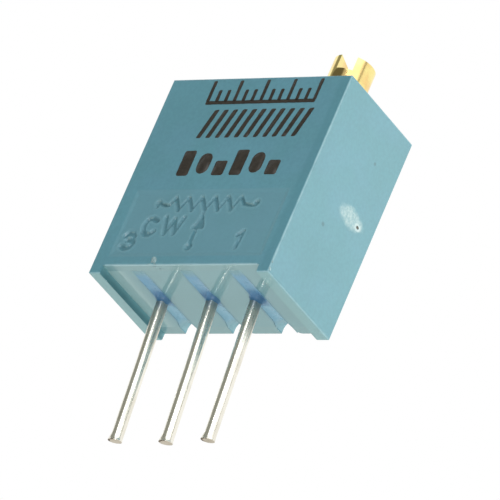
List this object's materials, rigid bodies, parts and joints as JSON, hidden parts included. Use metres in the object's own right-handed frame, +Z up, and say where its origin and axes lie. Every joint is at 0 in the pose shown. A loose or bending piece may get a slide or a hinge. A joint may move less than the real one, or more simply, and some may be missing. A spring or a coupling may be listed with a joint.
{
  "type": "trimmer potentiometer",
  "caption": "Small square-bodied multi-turn trimmer potentiometer with a slotted brass adjusting screw on top and in-line wire pins below.",
  "frame": {"origin": "centre of the pin row in the seating plane, under the two feet of the case", "axes": "+X along the pin row towards the screw end, seen from the marked face; +Y from the marked face to the back; +Z up, along the screw"},
  "size_m": [0.0094, 0.005, 0.0178],
  "materials": {
    "case_blue": "satin moulded thermoplastic",
    "resin_blue": "cured sealing resin",
    "ceramic": "fired alumina",
    "resistive_film": "fired cermet film",
    "silver_film": "fired silver film",
    "tinned_wire": "bright tinned copper wire",
    "solder": "solder",
    "spring_steel": "plain spring steel",
    "brass": "turned brass",
    "seal_rubber": "silicone rubber",
    "gear_plastic": "moulded gear plastic",
    "wiper_metal": "spring alloy"
  },
  "bodies": {
    "case": {"housing": "case_blue", "base_plate": "case_blue", "sealing_resin": "resin_blue", "ceramic_plate": "ceramic", "resistive_track": "resistive_film", "collector_film": "silver_film", "end_film_1": "silver_film", "end_film_3": "silver_film", "pin_1": "tinned_wire", "pin_2": "tinned_wire", "pin_3": "tinned_wire", "solder_1": "solder", "solder_2": "solder", "solder_3": "solder", "screw_retainer": "spring_steel"},
    "screw": {"adjusting_screw": "brass", "o_ring": "seal_rubber"},
    "rotor": {"worm_wheel": "gear_plastic", "wiper_carrier": "gear_plastic", "wiper_spring": "wiper_metal"}
  },
  "joints": [
    {"name": "screw_turn", "type": "hinge", "parent": "case", "child": "screw", "pos_m": [0.0035, -0.00126, 0.01], "axis": [0, 0, 1], "range_deg": [-5040, 5040]},
    {"name": "rotor_turn", "type": "hinge", "parent": "case", "child": "rotor", "pos_m": [-0.00019, -0.00126, 0.00519], "axis": [0, 1, 0], "range_deg": [-168, 168]}
  ],
  "couplings": [
    {"joint": "rotor_turn", "follows": "screw_turn", "ratio": 0.033333}
  ]
}
